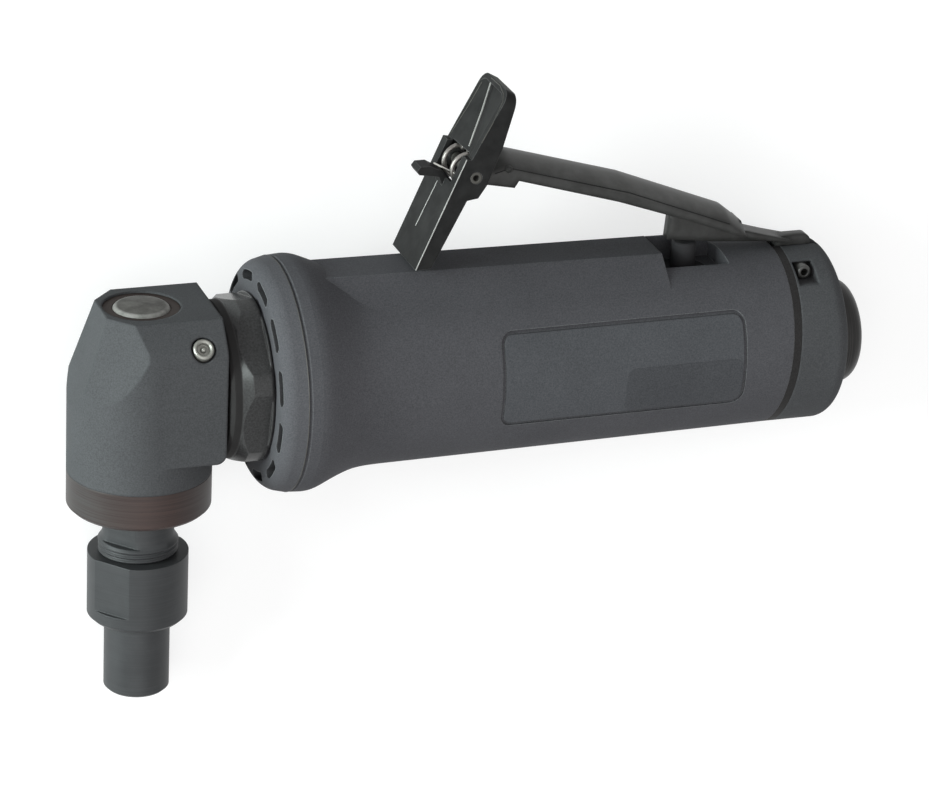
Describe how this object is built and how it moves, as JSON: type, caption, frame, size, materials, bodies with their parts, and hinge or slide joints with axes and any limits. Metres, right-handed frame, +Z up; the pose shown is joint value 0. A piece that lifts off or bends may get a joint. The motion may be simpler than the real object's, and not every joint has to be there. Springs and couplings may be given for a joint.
{
  "type": "right angle die grinder",
  "caption": "Palm-sized pneumatic right angle die grinder with a throttle lever, safety lock lever, bevel-geared head and split collet for a round shank.",
  "frame": {"origin": "middle of the footprint, on the bench the tool lies on", "axes": "+X towards the angle head along the grip's length, +Z up from the bench on the label side, +Y the way the collet points"},
  "size_m": [0.167, 0.1224, 0.0478],
  "materials": {
    "head_paint": "matte charcoal, fine speckle",
    "grip_plastic": "matte charcoal, fine grain",
    "lever_paint": "satin dark grey",
    "lock_paint": "semi-gloss black",
    "black_steel": "blackened, turned",
    "oxide_steel": "brown-black oxide, brushed round",
    "bright_steel": "ground bright",
    "plug_steel": "grey-tan, faced",
    "ring_steel": "dark brown oxide",
    "gear_steel": "cut and hardened",
    "grey_iron": "ground",
    "rubber": "black",
    "felt": "felted",
    "vane_plastic": "bonded fabric",
    "brass": "turned",
    "rear_aluminium": "matte charcoal, fine speckle"
  },
  "bodies": {
    "housing": {"angle_head": "head_paint", "head_plug": "plug_steel", "plug_ring": "ring_steel", "grease_fitting": "bright_steel", "bearing_cap": "oxide_steel", "upper_spindle_bearing": "bright_steel", "lower_spindle_bearing": "bright_steel", "pinion_bearing": "bright_steel", "coupling_nut": "black_steel", "front_hub": "bright_steel", "exhaust_deflector": "grip_plastic", "silencer_felt": "felt", "grip_housing": "grip_plastic", "front_end_plate": "grey_iron", "front_rotor_bearing": "bright_steel", "motor_cylinder": "grey_iron", "cylinder_dowel": "bright_steel", "rear_end_plate": "grey_iron", "rear_rotor_bearing": "bright_steel", "valve_bushing": "black_steel", "valve_spring": "bright_steel", "gasket": "rubber", "backhead": "rear_aluminium", "inlet_screen": "brass", "inlet_bushing": "black_steel", "lever_pin": "bright_steel"},
    "motor_rotor": {"rotor": "gear_steel", "rotor_vanes": "vane_plastic", "bevel_pinion": "gear_steel"},
    "output_spindle": {"spindle": "black_steel", "bevel_gear": "gear_steel"},
    "split_collet": {"collet": "bright_steel"},
    "nut": {"collet_nut": "black_steel"},
    "lever": {"throttle_lever": "lever_paint", "lock_pin": "bright_steel", "lock_spring": "bright_steel"},
    "lock": {"lock_lever": "lock_paint"},
    "plunger": {"throttle_plunger": "black_steel"}
  },
  "joints": [
    {"name": "rotor_spin", "type": "hinge", "parent": "housing", "child": "motor_rotor", "pos_m": [-0.00025, -0.00376, 0.02219], "axis": [-0.999, 0, -0.044], "continuous": true},
    {"name": "spindle_spin", "type": "hinge", "parent": "housing", "child": "output_spindle", "pos_m": [0.06893, 0.01539, 0.01946], "axis": [-0.0127, -0.9574, 0.2883], "continuous": true},
    {"name": "collet_feed", "type": "slide", "parent": "output_spindle", "child": "split_collet", "axis": [0.0127, 0.9574, -0.2883], "range_m": [0, 0.0019]},
    {"name": "collet_nut_turn", "type": "hinge", "parent": "split_collet", "child": "nut", "pos_m": [0.06932, 0.04411, 0.01081], "axis": [0.0127, 0.9574, -0.2883], "range_deg": [0, 540]},
    {"name": "lever_press", "type": "hinge", "parent": "housing", "child": "lever", "pos_m": [-0.06859, -0.01899, 0.02378], "axis": [-0.0421, 0.2886, 0.9565], "range_deg": [0, 6], "stiffness_Nm_per_rad": 1.5, "springref_deg": -8.59},
    {"name": "lock_swing", "type": "hinge", "parent": "lever", "child": "lock", "pos_m": [0.00262, -0.04316, 0.03421], "axis": [0.0421, -0.2886, -0.9565], "range_deg": [0, 42]},
    {"name": "plunger_push", "type": "slide", "parent": "housing", "child": "plunger", "axis": [0.0127, 0.9574, -0.2883], "range_m": [0, 0.0022], "deforming": ["valve_spring"]}
  ],
  "couplings": [
    {"joint": "spindle_spin", "follows": "rotor_spin", "ratio": 0.76471},
    {"joint": "collet_feed", "follows": "collet_nut_turn", "m_per_rad": 0.00019894},
    {"joint": "lock_swing", "follows": "lever_press", "ratio": 7},
    {"joint": "plunger_push", "follows": "lever_press", "m_per_rad": 0.02095}
  ]
}
